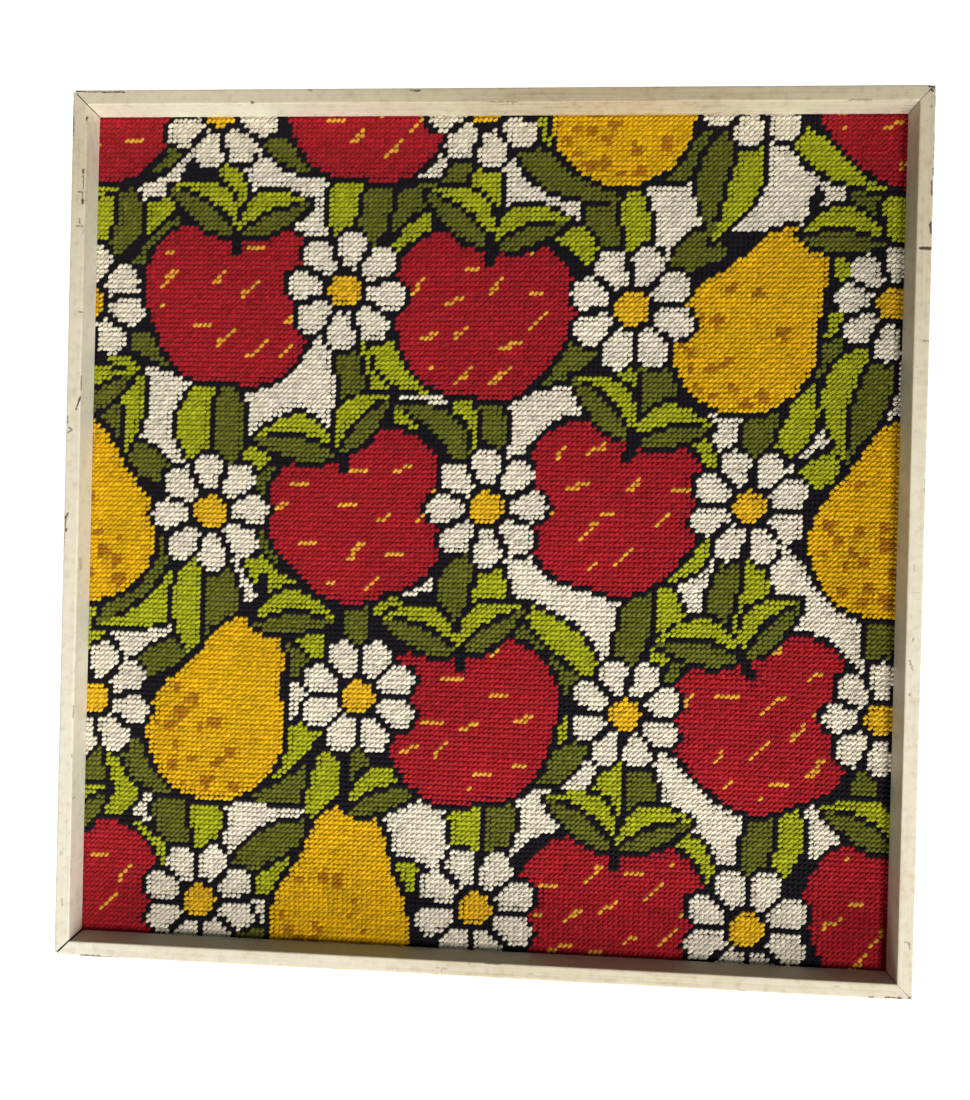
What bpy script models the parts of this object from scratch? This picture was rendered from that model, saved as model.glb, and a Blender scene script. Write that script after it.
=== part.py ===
"""A needlepoint panel in a narrow painted wooden frame, lying on its back.

The frame is four mitred rails. Each is an L in section: a deep lip at the front and a
rebate behind it. The stitched canvas sits in the rebate, close under the lip.
The origin is the middle of the frame's back, +Z points out of the picture's face and
+Y to the picture's top. Lengths are in metres.
"""

import math

import bmesh
import bpy

# Outer size of the frame
FRAME_WIDTH = 0.428
FRAME_HEIGHT = 0.442
FRAME_DEPTH = 0.022

# Section of a rail
FACE_WIDTH = 0.0074
WALL_THICKNESS = 0.0040
RECESS_DEPTH = 0.0128
OUTER_ARRIS = 0.0006
INNER_ARRIS = 0.0004
BACK_ARRIS = 0.0003
ARRIS_STEPS = 3

# Open width of each mitre joint, measured square to the joint
MITRE_GAPS = {
    "bottom_left": {"outer": 0.0007, "inner": 0.0004},
    "bottom_right": {"outer": 0.0003, "inner": 0.0003},
    "top_right": {"outer": 0.0003, "inner": 0.0003},
    "top_left": {"outer": 0.0004, "inner": 0.0003},
}

# Stitched canvas
CLOTH_THICKNESS = 0.0024
CLOTH_CLEARANCE = 0.0003
CLOTH_COLUMNS = 22
CLOTH_ROWS = 23
CLOTH_HELD_RIM = 0.026

# Unevenness of the stretched canvas: the soft hollows and swells that show in raking light
SWELLS = (
    {"x": -0.095, "y": 0.070, "reach": 0.070, "rise": 0.00035},
    {"x": 0.060, "y": -0.085, "reach": 0.080, "rise": 0.00030},
    {"x": 0.085, "y": 0.100, "reach": 0.060, "rise": -0.00030},
    {"x": -0.080, "y": -0.090, "reach": 0.065, "rise": -0.00025},
)
CREASE = {
    "x": 0.168,
    "y": -0.034,
    "angle": -48.0,
    "half_length": 0.030,
    "half_width": 0.010,
    "rise": 0.00035,
}

# The four rails: turn is in degrees about +Z, and start and end are a rail's two corners
RAILS = (
    {"name": "rail_bottom", "side": "width", "turn": 0, "start": "bottom_left", "end": "bottom_right"},
    {"name": "rail_right", "side": "height", "turn": 90, "start": "bottom_right", "end": "top_right"},
    {"name": "rail_top", "side": "width", "turn": 180, "start": "top_right", "end": "top_left"},
    {"name": "rail_left", "side": "height", "turn": 270, "start": "top_left", "end": "bottom_left"},
)

IVORY_PAINT = {"colour": (0.78, 0.72, 0.56), "roughness": 0.45}
DYED_WOOL = {"colour": (0.42, 0.36, 0.16), "roughness": 0.9}


def clear_scene():
    for thing in list(bpy.data.objects):
        bpy.data.objects.remove(thing, do_unlink=True)


def make_material(name, finish):
    material = bpy.data.materials.new(name)
    material.use_nodes = True
    shader = material.node_tree.nodes["Principled BSDF"]
    shader.inputs["Base Color"].default_value = (*finish["colour"], 1.0)
    shader.inputs["Roughness"].default_value = finish["roughness"]
    shader.inputs["Metallic"].default_value = 0.0
    return material


def make_object(name, shape, material):
    mesh = bpy.data.meshes.new(name)
    bmesh.ops.recalc_face_normals(shape, faces=shape.faces)
    shape.to_mesh(mesh)
    shape.free()
    mesh.materials.append(material)
    thing = bpy.data.objects.new(name, mesh)
    bpy.context.scene.collection.objects.link(thing)
    return thing


def rounded_corner(centre_inward, centre_height, radius, start_angle):
    """Points of a quarter round, clockwise from start_angle in degrees."""
    points = []
    for step in range(ARRIS_STEPS + 1):
        angle = math.radians(start_angle - 90.0 * step / ARRIS_STEPS)
        inward = centre_inward + radius * math.cos(angle)
        height = centre_height + radius * math.sin(angle)
        points.append((inward, height))
    return points


def rail_section():
    """The rail's outline as (inward from the outer side, height above the back)."""
    lip_height = FRAME_DEPTH - RECESS_DEPTH
    section = [(BACK_ARRIS, 0.0), (0.0, BACK_ARRIS)]
    section += rounded_corner(OUTER_ARRIS, FRAME_DEPTH - OUTER_ARRIS, OUTER_ARRIS, 180.0)
    section += rounded_corner(FACE_WIDTH - INNER_ARRIS, FRAME_DEPTH - INNER_ARRIS, INNER_ARRIS, 90.0)
    section += [(FACE_WIDTH, lip_height), (WALL_THICKNESS, lip_height), (WALL_THICKNESS, 0.0)]
    return section


def mitre_setback(corner, inward):
    """How far a rail's end stands back from the true mitre, along the rail."""
    gap = MITRE_GAPS[corner]
    share = inward / FACE_WIDTH
    open_width = gap["outer"] + (gap["inner"] - gap["outer"]) * share
    return open_width / math.sqrt(2.0)


def build_rail(rail, material):
    """One mitred rail along its own X, its outer side at Y = 0 and its inside towards +Y."""
    length = FRAME_WIDTH if rail["side"] == "width" else FRAME_HEIGHT
    across = FRAME_HEIGHT if rail["side"] == "width" else FRAME_WIDTH
    shape = bmesh.new()
    section = rail_section()
    start_ring = []
    end_ring = []
    for inward, height in section:
        half = length / 2 - inward
        start_x = -half + mitre_setback(rail["start"], inward)
        end_x = half - mitre_setback(rail["end"], inward)
        start_ring.append(shape.verts.new((start_x, inward, height)))
        end_ring.append(shape.verts.new((end_x, inward, height)))
    for index, start_vert in enumerate(start_ring):
        following = (index + 1) % len(start_ring)
        shape.faces.new((start_vert, start_ring[following], end_ring[following], end_ring[index]))
    shape.faces.new(start_ring)
    shape.faces.new(end_ring)
    thing = make_object(rail["name"], shape, material)
    turn = math.radians(rail["turn"])
    thing.rotation_euler = (0.0, 0.0, turn)
    thing.location = (across / 2 * math.sin(turn), -across / 2 * math.cos(turn), 0.0)
    return thing


def cloth_size():
    """Width and height of the stitched canvas, which reaches into the rebate on all sides."""
    margin = WALL_THICKNESS + CLOTH_CLEARANCE
    return FRAME_WIDTH - 2 * margin, FRAME_HEIGHT - 2 * margin


def held_at_rim(x, y):
    """0 along the held edge of the canvas, rising smoothly to 1 inside."""
    width, height = cloth_size()
    inside = min(width / 2 - abs(x), height / 2 - abs(y)) / CLOTH_HELD_RIM
    share = min(max(inside, 0.0), 1.0)
    return share * share * (3.0 - 2.0 * share)


def cloth_rise(x, y):
    """Height of the canvas above its flat plane at a place on the picture."""
    rise = 0.0
    for swell in SWELLS:
        distance = math.hypot(x - swell["x"], y - swell["y"]) / swell["reach"]
        rise += swell["rise"] * math.exp(-distance * distance)
    angle = math.radians(CREASE["angle"])
    off_x = x - CREASE["x"]
    off_y = y - CREASE["y"]
    along = (off_x * math.cos(angle) + off_y * math.sin(angle)) / CREASE["half_length"]
    across = (off_y * math.cos(angle) - off_x * math.sin(angle)) / CREASE["half_width"]
    rise += CREASE["rise"] * math.exp(-along * along - across * across)
    return rise * held_at_rim(x, y)


def rim_of(grid):
    """The grid's outer points, once around, counter-clockwise from the lower left."""
    bottom = grid[0][:-1]
    right = [line[-1] for line in grid[:-1]]
    top = grid[-1][:0:-1]
    left = [line[0] for line in grid[:0:-1]]
    return bottom + right + top + left


def build_cloth(material):
    """The stitched canvas: one sheet of even thickness that follows its swells and crease."""
    width, height = cloth_size()
    front_height = FRAME_DEPTH - RECESS_DEPTH - CLOTH_CLEARANCE
    shape = bmesh.new()
    layers = []
    for layer_height in (front_height, front_height - CLOTH_THICKNESS):
        grid = []
        for row in range(CLOTH_ROWS + 1):
            y = height * (row / CLOTH_ROWS - 0.5)
            line = []
            for column in range(CLOTH_COLUMNS + 1):
                x = width * (column / CLOTH_COLUMNS - 0.5)
                line.append(shape.verts.new((x, y, layer_height + cloth_rise(x, y))))
            grid.append(line)
        layers.append(grid)
    front, back = layers
    for grid, flip in ((front, False), (back, True)):
        for row in range(CLOTH_ROWS):
            for column in range(CLOTH_COLUMNS):
                corners = [
                    grid[row][column],
                    grid[row][column + 1],
                    grid[row + 1][column + 1],
                    grid[row + 1][column],
                ]
                if flip:
                    corners.reverse()
                shape.faces.new(corners)
    front_rim = rim_of(front)
    back_rim = rim_of(back)
    for index, vert in enumerate(front_rim):
        following = (index + 1) % len(front_rim)
        shape.faces.new((vert, back_rim[index], back_rim[following], front_rim[following]))
    return make_object("needlepoint_canvas", shape, material)


def main():
    clear_scene()
    paint = make_material("ivory_paint", IVORY_PAINT)
    for rail in RAILS:
        build_rail(rail, paint.copy())
    build_cloth(make_material("dyed_wool", DYED_WOOL))


main()
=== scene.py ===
import math
import random

import bpy
import numpy as np
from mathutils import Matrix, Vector, noise


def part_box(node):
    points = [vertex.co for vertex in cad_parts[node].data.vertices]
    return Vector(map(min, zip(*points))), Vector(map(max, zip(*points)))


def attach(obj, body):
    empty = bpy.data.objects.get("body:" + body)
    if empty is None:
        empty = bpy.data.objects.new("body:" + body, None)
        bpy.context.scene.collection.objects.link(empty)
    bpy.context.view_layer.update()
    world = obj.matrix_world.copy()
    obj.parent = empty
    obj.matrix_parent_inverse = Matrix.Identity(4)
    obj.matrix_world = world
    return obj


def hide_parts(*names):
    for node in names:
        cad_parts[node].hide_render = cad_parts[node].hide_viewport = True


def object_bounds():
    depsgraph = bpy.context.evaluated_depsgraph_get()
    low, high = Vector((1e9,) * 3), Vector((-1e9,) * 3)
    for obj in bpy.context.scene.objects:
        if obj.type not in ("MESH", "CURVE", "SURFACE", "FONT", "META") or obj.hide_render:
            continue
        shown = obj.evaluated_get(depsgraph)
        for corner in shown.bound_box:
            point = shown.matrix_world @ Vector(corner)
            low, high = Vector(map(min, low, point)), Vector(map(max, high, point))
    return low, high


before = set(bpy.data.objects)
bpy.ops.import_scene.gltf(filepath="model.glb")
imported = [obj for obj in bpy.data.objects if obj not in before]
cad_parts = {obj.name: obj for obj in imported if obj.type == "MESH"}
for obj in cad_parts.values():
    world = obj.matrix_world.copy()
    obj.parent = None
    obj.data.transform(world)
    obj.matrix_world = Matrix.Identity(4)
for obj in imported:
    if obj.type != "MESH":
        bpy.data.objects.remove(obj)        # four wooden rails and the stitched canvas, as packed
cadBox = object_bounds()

# Metres. The panel lies on its back: +Z comes out of the picture, +Y is the picture's top.
mm = 0.001
frameLow, frameHigh = cadBox
frameWide = frameHigh.x - frameLow.x
frameTall = frameHigh.y - frameLow.y
faceTop = frameHigh.z
canvasLow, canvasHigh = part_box("needlepoint_canvas")
canvasWide = canvasHigh.x - canvasLow.x
canvasTall = canvasHigh.y - canvasLow.y


# Meshes and node trees

def makeMesh(name, points, faceGroups):
    # each group is an array with one row of corners for each face
    corners = np.concatenate([group.reshape(-1) for group in faceGroups]).astype(np.int32)
    sides = np.concatenate([np.full(len(group), group.shape[1]) for group in faceGroups])
    starts = np.concatenate([[0], np.cumsum(sides)[:-1]]).astype(np.int32)
    mesh = bpy.data.meshes.new(name)
    mesh.vertices.add(len(points))
    mesh.vertices.foreach_set("co", np.asarray(points, np.float32).ravel())
    mesh.loops.add(len(corners))
    mesh.loops.foreach_set("vertex_index", corners)
    mesh.polygons.add(len(sides))
    mesh.polygons.foreach_set("loop_start", starts)
    mesh.update(calc_edges=True)
    mesh.polygons.foreach_set("use_smooth", np.ones(len(sides), bool))
    return mesh


def addUv(mesh, name, uvOfVertex):
    corners = np.empty(len(mesh.loops), np.int32)
    mesh.loops.foreach_get("vertex_index", corners)
    layer = mesh.uv_layers.new(name=name)
    layer.data.foreach_set("uv", np.asarray(uvOfVertex, np.float32)[corners].ravel())


def makePiece(name, mesh, materials, nodeName=None):
    piece = bpy.data.objects.new(name, mesh)
    bpy.context.scene.collection.objects.link(piece)
    for material in materials:
        mesh.materials.append(material)
    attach(piece, "root")
    if nodeName:
        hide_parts(nodeName)
    return piece


def addNode(tree, kind, inputs=None, **settings):
    node = tree.nodes.new(kind)
    for key, value in settings.items():
        setattr(node, key, value)
    for key, value in (inputs or {}).items():
        if isinstance(value, bpy.types.NodeSocket):
            tree.links.new(value, node.inputs[key])
        else:
            node.inputs[key].default_value = value
    return node


def mathNode(tree, operation, *values):
    return addNode(tree, "ShaderNodeMath", dict(enumerate(values)), operation=operation).outputs[0]


def vectorNode(tree, operation, inputs, output="Vector"):
    return addNode(tree, "ShaderNodeVectorMath", inputs, operation=operation).outputs[output]


def mixColor(tree, amount, first, second):
    inputs = {0: amount, 6: first, 7: second}
    return addNode(tree, "ShaderNodeMix", inputs, data_type="RGBA").outputs[2]


def ramp(tree, value, low, high, lowTo=0.0, highTo=1.0):
    inputs = {0: value, 1: low, 2: high, 3: lowTo, 4: highTo}
    return addNode(tree, "ShaderNodeMapRange", inputs, clamp=True).outputs[0]


def bumpNode(tree, strength, distance, height):
    inputs = {"Strength": strength, "Distance": distance, "Height": height}
    return addNode(tree, "ShaderNodeBump", inputs).outputs[0]


def noiseNode(tree, vector, scale, detail=2.0, roughness=0.5):
    inputs = {"Vector": vector, "Scale": scale, "Detail": detail, "Roughness": roughness}
    return addNode(tree, "ShaderNodeTexNoise", inputs).outputs[0]


def startMaterial(name, shading):
    material = bpy.data.materials.new(name)
    material.use_nodes = True
    shader = material.node_tree.nodes["Principled BSDF"]
    for key, value in shading.items():
        shader.inputs[key].default_value = value
    return material, material.node_tree, shader


def finishMaterial(tree, shader, color, bump):
    tree.links.new(color, shader.inputs["Base Color"])
    tree.links.new(bump, shader.inputs["Normal"])


def objectPlace(tree):
    return addNode(tree, "ShaderNodeTexCoord").outputs["Object"]


# The stitched pattern: an orchard of apples, pears, daisies and leaves, charted for this panel.
# One chart cell is one tent stitch. Counted from the lower left, in stitches and degrees.

chartSet = {
    "columns": 164,
    "rows": 170,
    "seed": 11,
    "spotAcross": 27.2,      # columns between a fruit and the daisy beside it
    "spotUp": 41.0,
    "spotShift": 2.6,
    "appleRadius": 18.5,
    "pearRadius": 19.5,
    "daisyRadius": (11.2, 12.8),
    "daisyPetals": 8,
    "leafLength": (22.0, 29.0),
    "leafWidth": (11.0, 14.5),
    "leavesPerDaisy": 6,
    "outline": 1.0,
    "fruitLean": 28.0,
    "tickSteps": ((1, 1), (0.8, 1), (1, 0), (1, 0.5)),    # from one stitch of a tick to the next
    "tickLengths": (3, 4, 4),
    "tickWidths": (0.5, 0.5, 0.9),
    "smallest": 9,           # stitches in the smallest patch of colour
}

yarnNames = ("cream", "navy", "red", "yellow", "ochre", "gold", "olive", "lime", "fleck")
yarnNumber = {name: number for number, name in enumerate(yarnNames)}


def turned(chart, x, y, turn):
    angle = math.radians(turn)
    offX = chart["x"] - x
    offY = chart["y"] - y
    along = offX * math.cos(angle) + offY * math.sin(angle)
    return along, offY * math.cos(angle) - offX * math.sin(angle)


def lay(chart, where, yarn):
    chart["yarn"][where] = yarnNumber[yarn]


def outlined(chart, distance, yarn):
    lay(chart, distance < chartSet["outline"], "navy")
    lay(chart, distance < 0, yarn)


def merged(first, second, softness):
    share = np.clip(0.5 + 0.5 * (second - first) / softness, 0, 1)
    return second + (first - second) * share - softness * share * (1 - share)


def stepped(x, y, turn, length):
    angle = math.radians(turn)
    return x + length * math.cos(angle), y + length * math.sin(angle)


def drawLeaf(chart, x, y, turn, length, width, bend, darkAbove=True):
    along, across = turned(chart, x, y, turn)
    share = np.clip(along / length, 0, 1)
    across = across - bend * length * np.sin(math.pi * share)
    half = width / 2 * np.sin(math.pi * share ** 0.85) ** 0.85
    past = np.maximum(np.maximum(-along, along - length), 0)
    beside = np.abs(across) - half
    distance = np.hypot(np.maximum(beside, 0), past) + np.where(past > 0, 0, np.minimum(beside, 0))
    above, below = ("olive", "lime") if darkAbove else ("lime", "olive")
    lay(chart, distance < chartSet["outline"], "navy")
    lay(chart, (distance < 0) & (across >= 0), above)
    lay(chart, (distance < 0) & (across < 0), below)
    lay(chart, (distance < 0) & (np.abs(across + 0.2) < 0.5) & (share < 0.86), "navy")


def drawStalk(chart, x, y, turn, length, bend, width=2.2):
    along, across = turned(chart, x, y, turn)
    share = np.clip(along / length, 0, 1)
    across = across - bend * length * share * share
    lay(chart, (np.abs(across) < width / 2) & (along > -0.5) & (along < length), "navy")


def drawDaisy(chart, x, y, turn, radius):
    along, across = turned(chart, x, y, turn)
    reach = np.hypot(along, across)
    angle = np.arctan2(across, along)
    petals = chartSet["daisyPetals"]
    lobe = np.abs(np.cos(petals * angle / 2))
    distance = reach - radius * (0.74 + 0.26 * lobe ** 0.8)
    outlined(chart, distance, "cream")
    sector = 2 * math.pi / petals
    parting = reach * np.abs(np.sin(np.mod(angle, sector) - sector / 2))
    lay(chart, (parting < 0.58) & (distance < 0) & (reach > radius * 0.3), "navy")
    heart = radius * 0.28
    lay(chart, reach < heart + 1.1, "navy")
    lay(chart, reach < heart, "gold")


def scattered(dice, count, reach, apart):
    places = []
    for attempt in range(4000):
        place = (dice.uniform(-reach, reach), dice.uniform(-reach, reach))
        if all(math.dist(place, other) > apart for other in places):
            places.append(place)
        if len(places) == count:
            break
    return places


def drawApple(chart, x, y, turn, dice):
    radius = chartSet["appleRadius"]
    along, across = turned(chart, x, y, turn)
    beside = np.abs(along)
    shoulder = np.hypot(beside - 0.34 * radius, across - 0.14 * radius) - 0.68 * radius
    foot = np.hypot(beside - 0.20 * radius, across + 0.36 * radius) - 0.60 * radius
    distance = merged(shoulder, foot, 0.30 * radius)
    outlined(chart, distance, "red")
    for offX, offY in scattered(dice, 24, radius, radius * 0.36):
        stepX, stepY = dice.choice(chartSet["tickSteps"])
        for number in range(dice.choice(chartSet["tickLengths"])):
            wide = dice.choice(chartSet["tickWidths"])
            isColumn = np.abs(chart["x"] - x - offX - stepX * number) < wide
            isRow = chart["y"] == round(y + offY + stepY * number)
            lay(chart, isColumn & isRow & (distance < -2.4), "fleck")
    drawStalk(chart, *stepped(x, y, turn + 90, 0.50 * radius), turn + 80, 0.62 * radius, 0.35)
    crown = stepped(x, y, turn + 90, 0.72 * radius)
    drawLeaf(chart, *crown, turn + 150, radius * 0.95, radius * 0.50, -0.10)
    drawLeaf(chart, *crown, turn + 25, radius * 0.88, radius * 0.46, 0.10, False)


def drawPear(chart, x, y, turn, dice):
    radius = chartSet["pearRadius"]
    along, across = turned(chart, x, y, turn)
    belly = np.hypot(along, across + 0.30 * radius) - 0.74 * radius
    neck = np.hypot(along - 0.05 * radius, across - 0.62 * radius) - 0.36 * radius
    distance = merged(belly, neck, 0.55 * radius)
    outlined(chart, distance, "yellow")
    for placeAlong, placeAcross in scattered(dice, 95, radius, 3.0):
        shaded = (-placeAlong * 0.7 - placeAcross) / radius
        half = dice.choice((0.7, 1.0, 1.2))
        spot = (np.abs(along - placeAlong) < half) & (np.abs(across - placeAcross) < half)
        if dice.random() < 0.30 + 0.75 * shaded:
            lay(chart, spot & (distance < -1.6), "ochre")
    crown = stepped(x, y, turn + 90, 0.92 * radius)
    drawStalk(chart, *crown, turn + 80, 0.5 * radius, 0.3)
    drawLeaf(chart, *crown, turn + 20, radius * 0.9, radius * 0.46, 0.12, False)


def tidied(yarn):
    # a patch of fewer than smallest stitches is lost in the outline round it
    rows, columns = yarn.shape
    seen = np.zeros(yarn.shape, bool)
    keep = [yarnNumber[name] for name in ("navy", "ochre", "fleck", "gold")]
    for row in range(rows):
        for column in range(columns):
            if seen[row, column] or yarn[row, column] in keep:
                continue
            patch = [(row, column)]
            seen[row, column] = True
            for y, x in patch:
                for nextY, nextX in ((y + 1, x), (y - 1, x), (y, x + 1), (y, x - 1)):
                    inside = 0 <= nextY < rows and 0 <= nextX < columns
                    if inside and not seen[nextY, nextX] and yarn[nextY, nextX] == yarn[y, x]:
                        seen[nextY, nextX] = True
                        patch.append((nextY, nextX))
            if len(patch) < chartSet["smallest"]:
                for y, x in patch:
                    yarn[y, x] = yarnNumber["navy"]
    return yarn


def orchardChart():
    dice = random.Random(chartSet["seed"])
    rows, columns = np.mgrid[0:chartSet["rows"], 0:chartSet["columns"]].astype(float)
    chart = {"x": columns, "y": rows, "yarn": np.zeros(rows.shape, int)}
    fruits = []
    daisies = []
    for row in range(-1, 6):
        for column in range(-2, 8):
            x = chartSet["spotAcross"] * column + dice.uniform(-1, 1) * chartSet["spotShift"]
            y = chartSet["spotUp"] * row + 8 + dice.uniform(-1, 1) * chartSet["spotShift"]
            if (row + column) % 2:
                daisies.append((x, y))
            else:
                fruits.append((x, y, ((column - row) // 2 + row) % 3 == 1))
    for x, y in daisies:
        for number in range(chartSet["leavesPerDaisy"]):
            turn = 30 + 360 / chartSet["leavesPerDaisy"] * number + dice.uniform(-13, 13)
            base = stepped(x, y, turn, 6.5)
            length = dice.uniform(*chartSet["leafLength"])
            width = dice.uniform(*chartSet["leafWidth"])
            bend = dice.uniform(-0.16, 0.16)
            drawLeaf(chart, *base, turn + dice.uniform(-9, 9), length, width, bend, dice.random() < 0.5)
    for x, y, isPear in fruits:
        turn = dice.uniform(-1, 1) * chartSet["fruitLean"]
        draw = drawPear if isPear else drawApple
        draw(chart, x, y, turn, dice)
    for x, y in daisies:
        drawDaisy(chart, x, y, dice.uniform(0, 45), dice.uniform(*chartSet["daisyRadius"]))
    return tidied(chart["yarn"])


# Wool

woolSet = {
    "colors": {
        "cream": (0.83, 0.755, 0.60),
        "navy": (0.006, 0.0045, 0.008),
        "red": (0.40, 0.0105, 0.0185),
        "yellow": (0.76, 0.435, 0.0022),
        "ochre": (0.44, 0.185, 0.003),
        "gold": (0.80, 0.47, 0.012),
        "olive": (0.128, 0.140, 0.012),
        "lime": (0.385, 0.41, 0.009),
        "fleck": (0.76, 0.36, 0.035),
    },
    "shading": {
        "Roughness": 0.9, "Specular IOR Level": 0.12, "Sheen Weight": 0.04, "Sheen Roughness": 0.5,
    },
    "stitchVariation": 0.20,
    "fibreVariation": 0.22,
    "dyeVariation": 0.10,
    "fibreScale": 1300.0,
    "dyeScale": 28.0,
    "plies": 2.0,
    "plySlant": 0.45,
    "plyShade": 0.13,
    "plyRelief": 0.45,
    "bumpStrength": 0.8,
    "bumpDepth": 0.00028,
}


def woolMaterial(name, color):
    material, tree, shader = startMaterial(name, woolSet["shading"])
    place = objectPlace(tree)
    shade = addNode(tree, "ShaderNodeAttribute", attribute_name="yarnShade").outputs["Fac"]
    fibre = noiseNode(tree, place, woolSet["fibreScale"], 3.0, 0.6)
    dye = noiseNode(tree, place, woolSet["dyeScale"], 3.0, 0.55)
    bright = mathNode(tree, "MULTIPLY_ADD", shade, woolSet["stitchVariation"], 1.0)
    fibreShift = ramp(tree, fibre, 0.3, 0.7, -woolSet["fibreVariation"], woolSet["fibreVariation"])
    dyeShift = ramp(tree, dye, 0.3, 0.7, -woolSet["dyeVariation"], woolSet["dyeVariation"])
    bright = mathNode(tree, "ADD", bright, fibreShift)
    bright = mathNode(tree, "ADD", bright, dyeShift)
    # two plies run the length of the stitch
    strand = addNode(tree, "ShaderNodeUVMap", uv_map="stitchUv").outputs[0]
    parts = addNode(tree, "ShaderNodeSeparateXYZ", {0: strand})
    wound = mathNode(tree, "MULTIPLY_ADD", parts.outputs[0], woolSet["plySlant"], parts.outputs[1])
    ply = mathNode(tree, "SINE", mathNode(tree, "MULTIPLY", wound, 2 * math.pi * woolSet["plies"]))
    # painted shade: darker in the grooves between the plies, lighter on their crowns
    bright = mathNode(tree, "MULTIPLY_ADD", ply, woolSet["plyShade"], bright)
    tinted = addNode(tree, "ShaderNodeHueSaturation", {"Value": bright, "Color": (*color, 1.0)})
    relief = mathNode(tree, "MULTIPLY_ADD", ply, woolSet["plyRelief"], fibre)
    bump = bumpNode(tree, woolSet["bumpStrength"], woolSet["bumpDepth"], relief)
    finishMaterial(tree, shader, tinted.outputs[0], bump)
    return material


# The stretched canvas and how it lies

canvasSet = {
    "pitch": 2.54 * mm,            # ten meshes to the inch
    "groundBelow": 0.80 * mm,      # canvas between the stitches, under the front of the cloth
    "backGroove": 2.15 * mm,       # back of the work, below the front of the cloth
    "backRidge": 2.55 * mm,
    "heldRim": 26.0 * mm,
    "swells": (
        {"x": -0.095, "y": 0.070, "reach": 0.070, "rise": 0.35 * mm},
        {"x": 0.060, "y": -0.085, "reach": 0.080, "rise": 0.30 * mm},
        {"x": 0.085, "y": 0.100, "reach": 0.060, "rise": -0.30 * mm},
        {"x": -0.080, "y": -0.090, "reach": 0.065, "rise": -0.25 * mm},
    ),
    "crease": {
        "x": 0.168, "y": -0.034, "angle": -48.0,
        "halfLength": 0.030, "halfWidth": 0.010, "rise": 0.35 * mm,
    },
    "clearance": 0.3 * mm,         # from the canvas's front to the lip above it
    "driftWide": 0.45 * mm,        # a long wave and a short one in each thread
    "driftFine": 0.22 * mm,
    "driftRim": 12.0 * mm,
    "seed": 17,
    "backJitter": 0.07 * mm,
    # painted light: the canvas between the stitches is coloured brighter than its yarn, lifting the
    # grooves' shade
    "grooveLift": 1.3,
    "backShade": 0.85,
    "rimShade": 0.6,
    "wanderScale": 260.0,          # the slanting yarns on the back
    "wander": 1.1,
    "ridgeRelief": 0.6,
    "bumpStrength": 0.9,
    "bumpDepth": 0.00035,
}
lipHeight = faceTop - 12.8 * mm
canvasFront = lipHeight - canvasSet["clearance"]


def clothRise(x, y):
    rise = np.zeros_like(x)
    for swell in canvasSet["swells"]:
        distance = np.hypot(x - swell["x"], y - swell["y"]) / swell["reach"]
        rise += swell["rise"] * np.exp(-distance ** 2)
    crease = canvasSet["crease"]
    angle = math.radians(crease["angle"])
    offX = x - crease["x"]
    offY = y - crease["y"]
    along = (offX * math.cos(angle) + offY * math.sin(angle)) / crease["halfLength"]
    across = (offY * math.cos(angle) - offX * math.sin(angle)) / crease["halfWidth"]
    rise += crease["rise"] * np.exp(-along ** 2 - across ** 2)
    inside = np.minimum(canvasWide / 2 - np.abs(x), canvasTall / 2 - np.abs(y)) / canvasSet["heldRim"]
    share = np.clip(inside, 0, 1)
    return rise * share * share * (3 - 2 * share)


def threadDrift(x, y):
    # the weave was never pulled quite square: rows and columns wander by up to 0.67 mm
    wide = canvasSet["driftWide"]
    fine = canvasSet["driftFine"]
    shiftX = wide * np.sin(y * 17 + 0.8) + fine * np.sin(y * 43 + x * 11)
    shiftY = wide * np.sin(x * 15 - 0.5) + fine * np.sin(x * 39 - y * 13 + 2.0)
    inside = np.minimum(canvasWide / 2 - np.abs(x), canvasTall / 2 - np.abs(y)) / canvasSet["driftRim"]
    share = np.clip(inside, 0, 1)
    return shiftX * share, shiftY * share


stitchSet = {
    "reachAcross": 0.52,     # half a stitch, in meshes of the canvas
    "reachUp": 0.53,
    "halfWidth": 0.46,
    "crown": 0.56 * mm,      # above the canvas between the stitches
    "sunk": 0.24 * mm,
    "rings": ((-0.58, 0.86, 0.86), (0.02, 1.0, 1.0), (0.60, 0.84, 0.84)),   # along, width, height
    "archSteps": 3,
    "seed": 5,
    "placeJitter": 0.09 * mm,
    "turnJitter": 5.5,
    "sizeJitter": 0.07,
    "heightJitter": 0.09,
}


def stitchTemplate():
    # one closed arch of yarn: rings between two sunken tips, as along, across, up
    points = [(-1.0, 0.0, -1.0)]
    for along, wide, tall in stitchSet["rings"]:
        for step in range(stitchSet["archSteps"] + 1):
            angle = math.pi * (1 - step / stitchSet["archSteps"])
            points.append((along, -wide * math.cos(angle), tall * math.sin(angle)))
    points.append((1.0, 0.0, -1.0))
    around = stitchSet["archSteps"] + 1
    last = len(points) - 1
    quads = []
    tips = []
    for step in range(around):
        following = (step + 1) % around
        tips.append((0, 1 + step, 1 + following))
        for ring in range(len(stitchSet["rings"]) - 1):
            first = 1 + ring * around
            second = first + around
            quads.append((first + step, second + step, second + following, first + following))
        endRing = last - around
        tips.append((last, endRing + following, endRing + step))
    return np.array(points), np.array(quads), np.array(tips)


def cellCentres():
    pitch = canvasSet["pitch"]
    columns = (np.arange(chartSet["columns"]) - (chartSet["columns"] - 1) / 2) * pitch
    rows = (np.arange(chartSet["rows"]) - (chartSet["rows"] - 1) / 2) * pitch
    return np.meshgrid(columns, rows)


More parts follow.
